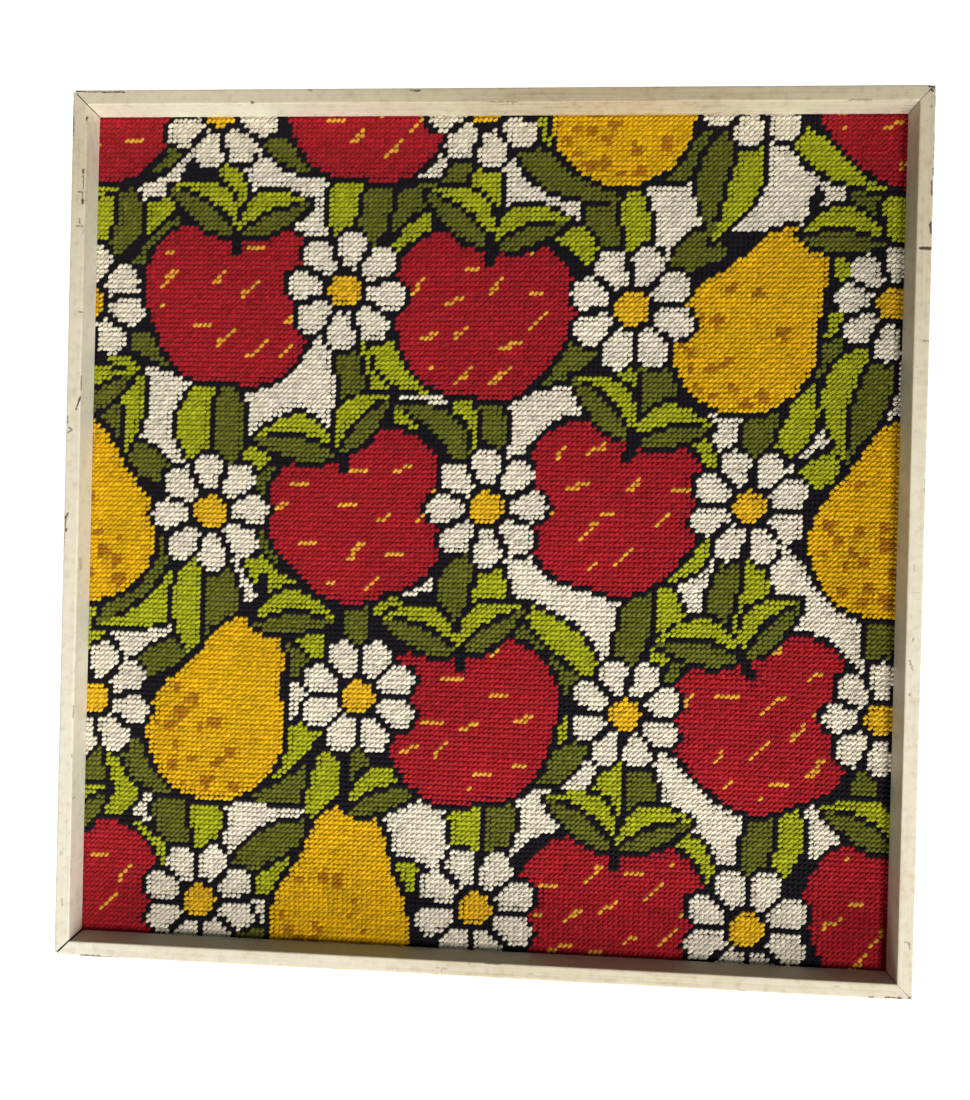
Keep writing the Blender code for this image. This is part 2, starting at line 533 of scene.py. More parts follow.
def buildStitches(yarnChart):
    template, quads, tips = stitchTemplate()
    dice = np.random.default_rng(stitchSet["seed"])
    centreX, centreY = cellCentres()
    shape = centreX.shape
    driftX, driftY = threadDrift(centreX, centreY)
    centreX = centreX + driftX + dice.normal(0, stitchSet["placeJitter"], shape)
    centreY = centreY + driftY + dice.normal(0, stitchSet["placeJitter"], shape)
    turn = math.atan2(stitchSet["reachUp"], stitchSet["reachAcross"])
    turn = turn + np.radians(dice.normal(0, stitchSet["turnJitter"], shape))
    pitch = canvasSet["pitch"]
    reach = math.hypot(stitchSet["reachUp"], stitchSet["reachAcross"]) * pitch
    reach = reach * (1 + dice.normal(0, stitchSet["sizeJitter"], shape))
    half = stitchSet["halfWidth"] * pitch * (1 + dice.normal(0, stitchSet["sizeJitter"], shape))
    crown = stitchSet["crown"] * np.clip(1 + dice.normal(0, stitchSet["heightJitter"], shape), 0.8, 1.12)
    ground = canvasFront - canvasSet["groundBelow"] + clothRise(centreX, centreY)
    shade = dice.normal(0, 0.5, shape)
    pieces = []
    for name in yarnNames:
        here = yarnChart == yarnNumber[name]
        count = int(here.sum())
        each = {
            key: values[here][:, None]
            for key, values in (("x", centreX), ("y", centreY), ("z", ground), ("turn", turn),
                                ("reach", reach), ("half", half), ("crown", crown))
        }
        along = template[None, :, 0] * each["reach"]
        across = template[None, :, 1] * each["half"]
        cosine = np.cos(each["turn"])
        sine = np.sin(each["turn"])
        points = np.empty((count, len(template), 3))
        points[:, :, 0] = each["x"] + along * cosine - across * sine
        points[:, :, 1] = each["y"] + along * sine + across * cosine
        up = template[None, :, 2]
        points[:, :, 2] = each["z"] + np.where(up < 0, up * stitchSet["sunk"], up * each["crown"])
        first = np.arange(count)[:, None, None] * len(template)
        groups = [(quads[None] + first).reshape(-1, 4), (tips[None] + first).reshape(-1, 3)]
        mesh = makeMesh(name + "Stitches", points.reshape(-1, 3), groups)
        addUv(mesh, "stitchUv", np.tile(template[:, :2] * 0.5 + 0.5, (count, 1)))
        values = mesh.attributes.new("yarnShade", "FLOAT", "POINT")
        values.data.foreach_set("value", np.repeat(shade[here], len(template)).astype(np.float32))
        material = woolMaterial(name + "Wool", woolSet["colors"][name])
        pieces.append(makePiece(name + "Stitches", mesh, [material]))
        print(name, "stitches:", count)
    return pieces


def canvasMaterial():
    # yarn seen between the stitches and on the back, where it slants two meshes across and one up
    material, tree, shader = startMaterial("canvasWool", woolSet["shading"])
    place = objectPlace(tree)
    yarn = addNode(tree, "ShaderNodeAttribute", attribute_name="yarnColor").outputs["Color"]
    fibre = noiseNode(tree, place, woolSet["fibreScale"], 3.0, 0.6)
    wander = noiseNode(tree, place, canvasSet["wanderScale"])
    pitch = canvasSet["pitch"]
    slant = vectorNode(tree, "DOT_PRODUCT", {0: place, 1: (1 / pitch, -2 / pitch, 0.0)}, "Value")
    slant = mathNode(tree, "MULTIPLY_ADD", wander, canvasSet["wander"], slant)
    ridge = mathNode(tree, "SINE", mathNode(tree, "MULTIPLY", slant, 2 * math.pi))
    # painted shade: darker in the grooves between the slanting yarns
    shade = ramp(tree, ridge, -1.0, 0.6, 0.55, 1.05)
    shade = mathNode(tree, "MULTIPLY", shade, ramp(tree, fibre, 0.3, 0.7, 0.85, 1.15))
    tinted = addNode(tree, "ShaderNodeHueSaturation", {"Value": shade, "Color": yarn})
    relief = mathNode(tree, "MULTIPLY_ADD", ridge, canvasSet["ridgeRelief"], fibre)
    bump = bumpNode(tree, canvasSet["bumpStrength"], canvasSet["bumpDepth"], relief)
    finishMaterial(tree, shader, tinted.outputs[0], bump)
    return material


def darkestNear(yarnChart):
    # between the stitches the darkest of a stitch and its four neighbours shows
    bright = np.array([sum(woolSet["colors"][name]) for name in yarnNames])
    rows, columns = yarnChart.shape
    padded = np.pad(yarnChart, 1, "edge")
    steps = ((1, 1), (0, 1), (2, 1), (1, 0), (1, 2))
    near = np.stack([padded[y:y + rows, x:x + columns] for y, x in steps])
    darkest = np.argmin(bright[near], axis=0)
    return np.take_along_axis(near, darkest[None], 0)[0]


def gridLines(count, size, middles):
    # from edge to edge of the cloth: the edge, the meshes, and the middles between them if asked for
    half = count * canvasSet["pitch"] / 2
    lines = np.linspace(-half, half, count * (2 if middles else 1) + 1)
    return np.concatenate([[-size / 2], lines, [size / 2]])


def buildCanvas(yarnChart):
    dice = np.random.default_rng(canvasSet["seed"])
    acrossLines = gridLines(chartSet["columns"], canvasWide, False)
    frontLines = gridLines(chartSet["rows"], canvasTall, False)
    backLines = gridLines(chartSet["rows"], canvasTall, True)
    frontX, frontY = np.meshgrid(acrossLines, frontLines)
    frontZ = canvasFront - canvasSet["groundBelow"] + clothRise(frontX, frontY)
    backX, backY = np.meshgrid(acrossLines, backLines)
    ridges = np.zeros(len(backLines), bool)
    ridges[2:-2:2] = True
    depth = np.where(ridges[:, None], canvasSet["backRidge"], canvasSet["backGroove"])
    depth = depth + dice.normal(0, canvasSet["backJitter"], backX.shape)
    backZ = canvasFront - depth + clothRise(backX, backY)
    driftX, driftY = threadDrift(backX, backY)
    front = np.stack([frontX, frontY, frontZ], -1)
    back = np.stack([backX + driftX, backY + driftY, backZ], -1)
    points = np.concatenate([front.reshape(-1, 3), back.reshape(-1, 3)])
    frontIndex = np.arange(frontX.size).reshape(frontX.shape)
    backIndex = np.arange(backX.size).reshape(backX.shape) + frontX.size

    def gridFaces(index):
        corners = (index[:-1, :-1], index[:-1, 1:], index[1:, 1:], index[1:, :-1])
        return np.stack(corners, -1).reshape(-1, 4)

    frontFaces = gridFaces(frontIndex)
    backFaces = gridFaces(backIndex)[:, ::-1]
    lowRim = np.stack([backIndex[0, :-1], backIndex[0, 1:], frontIndex[0, 1:], frontIndex[0, :-1]], -1)
    highRim = np.stack([backIndex[-1, 1:], backIndex[-1, :-1], frontIndex[-1, :-1], frontIndex[-1, 1:]], -1)
    edgeQuads = [lowRim, highRim]
    edgeFives = []
    for side, column in (("left", 0), ("right", -1)):
        for row in range(len(frontLines) - 1):
            lowFront = frontIndex[row, column]
            highFront = frontIndex[row + 1, column]
            isMargin = row in (0, len(frontLines) - 2)
            lowBack = 0 if row == 0 else 2 * row - 1
            backRows = range(lowBack, lowBack + (2 if isMargin else 3))
            rim = [lowFront, highFront] + [backIndex[number, column] for number in reversed(backRows)]
            if side == "left":
                rim.reverse()
            if isMargin:
                edgeQuads.append(np.array([rim]))
            else:
                edgeFives.append(rim)
    groups = [frontFaces, backFaces, np.concatenate(edgeQuads), np.array(edgeFives)]
    mesh = makeMesh("canvasGround", points, groups)

    colors = np.array([woolSet["colors"][name] for name in yarnNames])
    rim = ((1, 1), (1, 1), (0, 0))
    # painted light: the ground between the stitches is brightened past the yarn's own colour
    frontColors = np.pad(colors[darkestNear(yarnChart)], rim, "edge") * canvasSet["grooveLift"]
    backColors = np.pad(colors[yarnChart], rim, "edge") * canvasSet["backShade"]
    doubled = np.repeat(backColors, 2, 0)[1:-1]
    faceColors = np.concatenate([frontColors.reshape(-1, 3), doubled.reshape(-1, 3)])
    rest = len(mesh.polygons) - len(faceColors)
    faceColors = np.concatenate([faceColors, np.tile(colors[0] * canvasSet["rimShade"], (rest, 1))])
    sides = np.concatenate([np.full(len(group), group.shape[1]) for group in groups])
    cornerColors = np.repeat(faceColors, sides, 0)
    cornerColors = np.concatenate([cornerColors, np.ones((len(cornerColors), 1))], 1)
    layer = mesh.color_attributes.new("yarnColor", "FLOAT_COLOR", "CORNER")
    layer.data.foreach_set("color", cornerColors.astype(np.float32).ravel())
    return makePiece("canvasGround", mesh, [canvasMaterial()], "needlepoint_canvas")


# The painted frame

railSet = {
    "faceWide": 7.4 * mm,
    "wallThick": 4.0 * mm,
    "outerArris": 0.6 * mm,
    "innerArris": 0.4 * mm,
    "backArris": 0.3 * mm,
    # levels are millimetres over the back
    "outerLevels": (0.3, 3.0, 6.0, 9.2, 11.0, 13.5, 16.0, 18.5, 20.4, 20.9, 21.4),
    "innerLevels": (21.6, 20.9, 20.4, 18.5, 16.0, 13.5, 11.0, 9.2),
    "rebateLevels": (9.2, 6.0, 3.0, 0.0),
    "faceSteps": 10,
    "station": 2.0 * mm,
    "endStation": 0.5 * mm,
    "endReach": 5.0 * mm,
    "bow": 0.14 * mm,              # how far the long edges wander
    "bowWaves": 9,                 # noise waves to the metre, here and below
    "bowHeld": 0.03,
    "ripple": 0.025 * mm,
    "rippleWaves": (60, 400),
    "arrisWear": 0.12 * mm,
    "wearWaves": (420, 500),
    "jointDepth": 2.6 * mm,
    "jointShut": 0.02 * mm,
}

jointSet = {     # open width of the mitre joints at the face
    "bottomLeft": {"outer": 0.90 * mm, "inner": 0.78 * mm, "wall": 0.90 * mm},
    "bottomRight": {"outer": 0.20 * mm, "inner": 0.14 * mm, "wall": 0.30 * mm},
    "topRight": {"outer": 0.28 * mm, "inner": 0.20 * mm, "wall": 0.24 * mm},
    "topLeft": {"outer": 0.55 * mm, "inner": 0.42 * mm, "wall": 0.40 * mm},
}

# Marks and chips lie on the unrolled face: along from the rail's start corner, and in from the outer
# edge. Past the face's 7.4 mm, "inward" runs on down the inner wall. Millimetres and degrees.
markColumns = ("along", "inward", "long", "wide", "turn", "dark")
chipColumns = ("along", "inward", "long", "wide", "deep")

# Each rail's tan stops darken its paint along its length, partly for age and partly as painted shade.
# wallShade greys a rail's inner wall with painted shade, most on the bottom rail, which faces away from the
# light.
rails = {
    "rail_bottom": {
        "piece": "paintedRailBottom", "long": frameWide, "across": frameTall, "turn": 0,
        "start": "bottomLeft", "end": "bottomRight", "seed": 1, "wallShade": 0.75,
        "tan": ((0.0, 0.06), (0.12, 0.24), (0.38, 0.30), (0.50, 0.46), (0.60, 0.48), (1.0, 0.38)),
        "marks": (
            (19.5, 0.5, 10.0, 1.1, 0, 0.80),
            (29.0, 0.4, 9.0, 0.8, 0, 0.50),
            (197.3, 4.0, 0.6, 1.0, 0, 0.35),
            (199.3, 2.9, 2.6, 0.5, 80, 0.38),
            (200.8, 3.6, 1.2, 0.8, 20, 0.35),
            (196.5, 0.8, 1.6, 0.5, 0, 0.45),
            (224.7, 7.3, 7.5, 0.7, 0, 0.60),
            (243.5, 3.2, 2.6, 0.6, 8, 0.35),
            (262.7, 13.0, 10.0, 0.35, 90, 0.45),
            (346.8, 0.7, 3.4, 0.6, 0, 0.40),
            (392.2, 5.0, 2.0, 1.2, 0, 0.22),
            (408.5, 0.6, 1.8, 0.9, 0, 0.75),
            (418.6, 0.8, 6.6, 0.9, 0, 0.85),
            (421.8, 0.9, 0.6, 1.5, 0, 0.90),
            (426.7, 1.2, 0.8, 1.3, 0, 0.80),
            (118.0, 3.2, 9.0, 0.3, 3, 0.20),
        ),
        "chips": (
            (419.0, 0.0, 3.4, 0.7, 0.25),
            (426.5, 0.0, 1.0, 0.8, 0.40),
        ),
    },
    "rail_right": {
        "piece": "paintedRailRight", "long": frameTall, "across": frameWide, "turn": 90,
        "start": "bottomRight", "end": "topRight", "seed": 2, "wallShade": 0.15,
        "tan": ((0.0, 0.34), (0.30, 0.18), (0.45, 0.12), (0.58, 0.06), (0.86, 0.32), (1.0, 0.28)),
        "marks": (
            (1.3, 1.0, 0.8, 1.0, 0, 0.65),
            (26.4, 2.2, 2.8, 0.8, 12, 0.55),
            (28.1, 3.6, 1.4, 0.7, 75, 0.60),
            (147.7, 5.2, 0.6, 1.0, 0, 0.50),
            (160.6, 4.2, 1.6, 1.0, 10, 0.40),
            (163.2, 5.2, 1.8, 1.1, 10, 0.50),
            (174.4, 4.2, 1.0, 1.1, 0, 0.50),
            (197.3, 4.0, 5.0, 0.3, 86, 0.30),
            (209.0, 4.6, 3.0, 1.0, 0, 0.22),
            (249.0, 0.5, 6.0, 0.6, 0, 0.32),
            (318.6, 1.6, 2.9, 0.6, 88, 0.55),
            (363.2, 3.2, 4.6, 1.5, 88, 0.95),
            (370.8, 0.8, 0.8, 1.0, 0, 0.85),
            (373.8, 1.0, 3.2, 1.3, 4, 0.95),
            (392.4, 0.9, 6.6, 1.0, 1, 0.85),
            (400.0, 0.5, 3.0, 0.9, 0, 0.80),
            (412.0, 0.3, 12.0, 0.6, 0, 0.60),
            (431.3, 2.2, 0.9, 0.8, 0, 0.45),
            (434.0, 0.3, 4.0, 0.7, 0, 0.60),
            (439.4, 2.1, 1.4, 1.1, 35, 0.90),
            (440.8, 0.5, 1.2, 1.5, 30, 0.98),
        ),
        "chips": (
            (440.8, 0.0, 1.0, 1.0, 0.35),
            (373.8, 0.0, 2.2, 0.7, 0.25),
            (392.4, 0.0, 3.5, 0.6, 0.22),
        ),
    },
    "rail_top": {
        "piece": "paintedRailTop", "long": frameWide, "across": frameTall, "turn": 180,
        "start": "topRight", "end": "topLeft", "seed": 3, "wallShade": 0.0,
        "tan": ((0.0, 0.26), (0.28, 0.54), (0.46, 0.56), (0.55, 0.38), (0.80, 0.10), (1.0, 0.12)),
        "marks": (
            (1.6, 0.6, 3.2, 1.5, 0, 0.98),
            (2.6, 2.5, 1.4, 1.1, 40, 0.85),
            (20.0, 7.4, 20.0, 0.4, 0, 0.40),
            (35.5, 7.3, 11.0, 0.6, 0, 0.65),
            (10.8, 12.6, 3.6, 0.6, 0, 0.60),
            (10.6, 15.2, 4.2, 0.7, 8, 0.45),
            (9.8, 17.4, 3.8, 0.8, 10, 0.40),
            (60.3, 6.8, 1.2, 0.6, 0, 0.35),
            (208.0, 7.3, 14.0, 0.5, 0, 0.65),
            (203.6, 8.6, 2.6, 0.5, 72, 0.60),
            (207.8, 9.9, 7.0, 0.4, 0, 0.45),
            (207.7, 17.3, 1.4, 1.2, 60, 0.30),
            (251.6, 1.4, 2.2, 1.2, 0, 0.85),
            (254.2, 1.2, 1.2, 0.8, 0, 0.55),
            (305.5, 1.0, 1.6, 0.8, 0, 0.55),
            (334.9, 6.9, 0.6, 1.3, 0, 0.80),
            (407.0, 1.2, 11.5, 0.7, 0, 0.90),
            (418.0, 0.9, 9.0, 0.6, 0, 0.65),
            (424.2, 0.7, 4.5, 0.9, 0, 0.90),
        ),
        "chips": (
            (1.4, 0.0, 2.0, 0.8, 0.35),
            (251.6, 0.6, 2.0, 0.7, 0.15),
        ),
    },
    "rail_left": {
        "piece": "paintedRailLeft", "long": frameTall, "across": frameWide, "turn": 270,
        "start": "topLeft", "end": "bottomLeft", "seed": 4, "wallShade": 0.0,
        "tan": ((0.0, 0.10), (0.08, 0.28), (0.14, 0.14), (0.25, 0.06), (0.70, 0.02), (1.0, 0.14)),
        "marks": (
            (12.0, 0.3, 8.0, 0.6, 0, 0.50),
            (18.5, 0.4, 9.0, 0.9, 0, 0.80),
            (14.2, 7.9, 0.9, 1.8, -30, 1.00),
            (41.3, 6.2, 1.4, 1.2, 0, 0.90),
            (46.8, 6.4, 7.0, 0.6, 0, 0.75),
            (52.0, 4.9, 2.8, 0.6, 80, 0.75),
            (53.6, 6.2, 4.0, 0.5, 6, 0.60),
            (56.8, 6.2, 1.2, 1.4, 0, 0.92),
            (66.6, 4.9, 2.2, 0.9, 0, 0.60),
            (69.3, 5.0, 3.4, 0.7, 86, 0.65),
            (72.0, 7.1, 2.0, 0.6, 0, 0.40),
            (113.0, 6.8, 1.8, 0.8, 85, 0.60),
            (149.0, 7.8, 7.0, 0.9, 1, 0.75),
            (159.4, 6.3, 6.6, 0.8, -18, 0.95),
            (167.8, 1.0, 3.4, 0.8, 0, 0.60),
            (172.4, 2.2, 2.0, 0.7, 62, 0.80),
            (173.9, 2.2, 2.2, 0.7, -58, 0.80),
            (217.0, 1.5, 2.8, 0.9, -28, 0.85),
            (221.6, 1.1, 5.4, 0.6, 0, 0.80),
            (224.4, 1.2, 0.8, 1.2, 0, 0.88),
            (228.5, 0.5, 5.0, 0.5, 0, 0.50),
            (241.5, 10.6, 4.0, 2.6, 12, 0.32),
            (317.0, 7.4, 5.5, 0.8, 0, 0.55),
            (339.7, 7.2, 0.8, 1.0, 0, 0.40),
            (361.8, 9.2, 1.4, 0.7, 85, 0.55),
            (389.7, 2.6, 1.2, 1.4, 0, 0.22),
            (414.7, 3.7, 3.0, 1.3, 4, 0.30),
        ),
        "chips": (
            (14.2, 7.9, 0.9, 0.9, 0.80),
            (173.0, 0.6, 1.2, 0.8, 0.20),
            (151.0, 7.6, 3.0, 0.7, 0.18),
        ),
    },
}

paintSet = {
    "color": (0.875, 0.84, 0.70),
    "topShadeTint": (0.89, 0.785, 0.58),     # painted shade tint: the face turns yellower towards the picture's top, which lies in shade
    "bare": (0.060, 0.038, 0.020),       # old dirt and wood in strokes and spots
    "dull": (0.44, 0.32, 0.165),         # tanned with age, and the colour of painted shade over the frame's top and along the bottom rail
    "shading": {"Roughness": 0.6, "Specular IOR Level": 0.30},
    # painted shade on the inner walls that face away from the light
    "wallShadeColor": (0.33, 0.33, 0.27),
    "grainStretch": (18.0, 700.0, 1.0),
    "mottleScale": 95.0,
    "patchScale": 240.0,
    "speckScale": 900.0,
    "fineScale": 2600.0,
    "outsideTan": 0.40,
    "streakTan": (0.40, 0.05),           # with the tan and painted shade below it, and anywhere
    "mottleTan": 0.12,
    "patchTan": 0.26,
    "freckleTan": 0.55,
    "raggedScale": 900.0,
    "ragged": 0.0016,                    # how far a stroke's edge strays
    "roughLow": 0.48,
    "roughGrain": 0.20,
    "roughMark": 0.25,
    "bumpStrength": 0.6,
    "bumpDepth": 0.00006,
    "jointShading": {"Roughness": 0.95, "Specular IOR Level": 0.1},
    # dirt and painted shade: near black, so the open mitre joints read as dark gaps
    "jointDirtAndShade": ((0.006, 0.004, 0.003), (0.020, 0.014, 0.010)),
    "jointScale": 1500.0,
}


def arc(centreIn, centreUp, radius, startAngle, steps):
    points = []
    for step in range(1, steps):
        angle = math.radians(startAngle - 90.0 * step / steps)
        points.append((centreIn + radius * math.cos(angle), centreUp + radius * math.sin(angle)))
    return points


def railSection():
    # once round the rail, as inward and up: back, outer side, face, inner wall, lip and rebate
    outer = railSet["outerArris"]
    inner = railSet["innerArris"]
    wide = railSet["faceWide"]
    thick = railSet["wallThick"]
    section = [(railSet["backArris"], 0.0)]
    section += [(0.0, level * mm) for level in railSet["outerLevels"]]
    section += arc(outer, faceTop - outer, outer, 180, 3)
    section += [(value, faceTop) for value in np.linspace(outer, wide - inner, railSet["faceSteps"] + 1)]
    section += arc(wide - inner, faceTop - inner, inner, 90, 3)
    section += [(wide, level * mm) for level in railSet["innerLevels"]]
    section += [((wide + thick) / 2, lipHeight)]
    section += [(thick, level * mm) for level in railSet["rebateLevels"]]
    return np.array(section)


def railCap(section):
    # one end of a rail, in strips from the face down to the back
    outerStart = 1
    outerCount = len(railSet["outerLevels"])
    faceStart = outerStart + outerCount
    innerStart = faceStart + 2 + railSet["faceSteps"] + 1 + 2
    innerCount = len(railSet["innerLevels"])
    rebateStart = innerStart + innerCount + 1
    outerTop = outerStart + outerCount - 1
    caps = [list(range(outerTop, innerStart + 1))]
    for step in range(innerCount - 1):
        corners = [outerTop - step - 1, outerTop - step, innerStart + step, innerStart + step + 1]
        if step == innerCount - 2:
            corners += [innerStart + innerCount, rebateStart]
        caps.append(corners)
    lipOuter = outerTop - innerCount + 1
    for step in range(len(railSet["rebateLevels"]) - 1):
        corners = [lipOuter - step - 1, lipOuter - step, rebateStart + step, rebateStart + step + 1]
        if step == len(railSet["rebateLevels"]) - 2:
            corners = [0] + corners
        caps.append(corners)
    return caps


def stationShares(length):
    ends = np.arange(0, railSet["endReach"], railSet["endStation"])
    middle = np.arange(railSet["endReach"], length - railSet["endReach"], railSet["station"])
    return np.concatenate([ends, middle, length - ends[::-1]]) / length


def setBack(jointName, inward, up):
    # the joint is open at the face and down the inner wall, and shut behind them
    joint = jointSet[jointName]
    share = inward / railSet["faceWide"]
    opening = joint["outer"] + (joint["inner"] - joint["outer"]) * share
    onWall = joint["wall"] * np.clip(share * 4 - 3, 0, 1)
    opening = np.where(up < faceTop - railSet["jointDepth"], onWall, opening)
    return np.maximum(opening, railSet["jointShut"]) / math.sqrt(2)


def buildRail(nodeName):
    rail = rails[nodeName]
    section = railSection()
    count = len(section)
    ahead = np.roll(section, -1, 0) - section
    behind = section - np.roll(section, 1, 0)
    tangent = ahead / np.linalg.norm(ahead, axis=1)[:, None]
    tangent += behind / np.linalg.norm(behind, axis=1)[:, None]
    outward = np.stack([-tangent[:, 1], tangent[:, 0]], 1)
    outward /= np.linalg.norm(outward, axis=1)[:, None]
    # the unrolled place of each section point, 0 at the face's outer edge
    steps = np.linalg.norm(ahead, axis=1)
    unrolled = np.concatenate([[0], np.cumsum(steps)[:-1]])
    faceEdge = 1 + len(railSet["outerLevels"])
    unrolled = unrolled - unrolled[faceEdge]
    onArris = np.zeros(count)
    onArris[faceEdge - 1: faceEdge + 3] = (0.5, 1.0, 1.0, 0.6)
    innerEdge = faceEdge + 2 + railSet["faceSteps"]
    onArris[innerEdge: innerEdge + 4] = (0.4, 0.8, 0.8, 0.4)

    half = rail["long"] / 2
    start = -half + section[:, 0] + setBack(rail["start"], section[:, 0], section[:, 1])
    end = half - section[:, 0] - setBack(rail["end"], section[:, 0], section[:, 1])
    shares = stationShares(rail["long"])
    chips = [dict(zip(chipColumns, row)) for row in rail["chips"]]
    seed = rail["seed"]
    bowHeld = railSet["bowHeld"]
    rippleAlong, rippleAcross = railSet["rippleWaves"]
    wearAlong, wearAcross = railSet["wearWaves"]
    points = np.empty((len(shares), count, 3))
    uv = np.empty((len(shares), count, 2))
    for row, share in enumerate(shares):
        along = start + (end - start) * share
        middle = rail["long"] * share
        wander = noise.noise(Vector((middle * railSet["bowWaves"], seed * 7.3, 0.0))) * railSet["bow"]
        hold = min(1.0, middle / bowHeld, (rail["long"] - middle) / bowHeld)
        for column in range(count):
            place = along[column] + half
            v = unrolled[column]
            ripple = noise.noise(Vector((place * rippleAlong, v * rippleAcross, seed * 3.1)))
            worn = noise.noise(Vector((place * wearAlong, v * wearAcross, seed * 5.7)))
            offset = ripple * railSet["ripple"] - max(0.0, worn) * onArris[column] * railSet["arrisWear"]
            for chip in chips:
                nearAlong = (place - chip["along"] * mm) / (chip["long"] * mm)
                nearAcross = (v - chip["inward"] * mm) / (chip["wide"] * mm)
                offset -= chip["deep"] * mm * math.exp(-nearAlong ** 2 - nearAcross ** 2)
            inward, up = section[column] + outward[column] * offset
            if up > 1 * mm and section[column, 0] in (0.0, railSet["faceWide"]):
                inward += wander * hold
            points[row, column] = (along[column], inward, max(up, 0.0))
            uv[row, column] = (place, v)
    turn = math.radians(rail["turn"])
    x = points[..., 0] * math.cos(turn) - points[..., 1] * math.sin(turn)
    y = points[..., 0] * math.sin(turn) + points[..., 1] * math.cos(turn)
    points[..., 0] = x + rail["across"] / 2 * math.sin(turn)
    points[..., 1] = y - rail["across"] / 2 * math.cos(turn)

    index = np.arange(len(shares) * count).reshape(len(shares), count)
    following = np.roll(index, -1, 1)
    sides = np.stack([index[:-1], index[1:], following[1:], following[:-1]], -1).reshape(-1, 4)
    groups = [sides]
    capFaces = 0
    for corners in railCap(section):
        groups.append(np.array([index[0][corners]]))
        groups.append(np.array([index[-1][corners[::-1]]]))
        capFaces += 2
    mesh = makeMesh(rail["piece"], points.reshape(-1, 3), groups)
    materialNumber = np.zeros(len(mesh.polygons), np.int32)
    materialNumber[-capFaces:] = 1
    mesh.polygons.foreach_set("material_index", materialNumber)
    smooth = np.ones(len(mesh.polygons), bool)
    smooth[-capFaces:] = False
    mesh.polygons.foreach_set("use_smooth", smooth)
    addUv(mesh, "unrolled", uv.reshape(-1, 2))
    mesh.set_sharp_from_angle(angle=math.radians(40))
    materials = [paintMaterial(nodeName), jointMaterial()]
    return makePiece(rail["piece"], mesh, materials, nodeName)


def markGroup():
    # a soft-ended stroke on the unrolled face: 1 on the stroke, 0 off it
    group = bpy.data.node_groups.new("paintMark", "ShaderNodeTree")
    for name in ("Place", "Start", "Run"):
        group.interface.new_socket(name, in_out="INPUT", socket_type="NodeSocketVector")
    for name in ("Width", "Dark"):
        group.interface.new_socket(name, in_out="INPUT", socket_type="NodeSocketFloat")
    group.interface.new_socket("Mark", in_out="OUTPUT", socket_type="NodeSocketFloat")
    given = group.nodes.new("NodeGroupInput").outputs
    result = group.nodes.new("NodeGroupOutput")
    away = vectorNode(group, "SUBTRACT", {0: given[0], 1: given[1]})
    dotted = vectorNode(group, "DOT_PRODUCT", {0: away, 1: given[2]}, "Value")
    square = vectorNode(group, "DOT_PRODUCT", {0: given[2], 1: given[2]}, "Value")
    inputs = {0: dotted, 1: square}
    share = addNode(group, "ShaderNodeMath", inputs, operation="DIVIDE", use_clamp=True).outputs[0]
    onLine = vectorNode(group, "SCALE", {0: given[2], "Scale": share})
    gap = vectorNode(group, "SUBTRACT", {0: away, 1: onLine})
    distance = vectorNode(group, "LENGTH", {0: gap}, "Value")
    inner = mathNode(group, "MULTIPLY", given[3], 0.30)
    outer = mathNode(group, "MULTIPLY", given[3], 0.70)
    fade = ramp(group, distance, inner, outer, given[4], 0.0)
    group.links.new(fade, result.inputs[0])
    return group


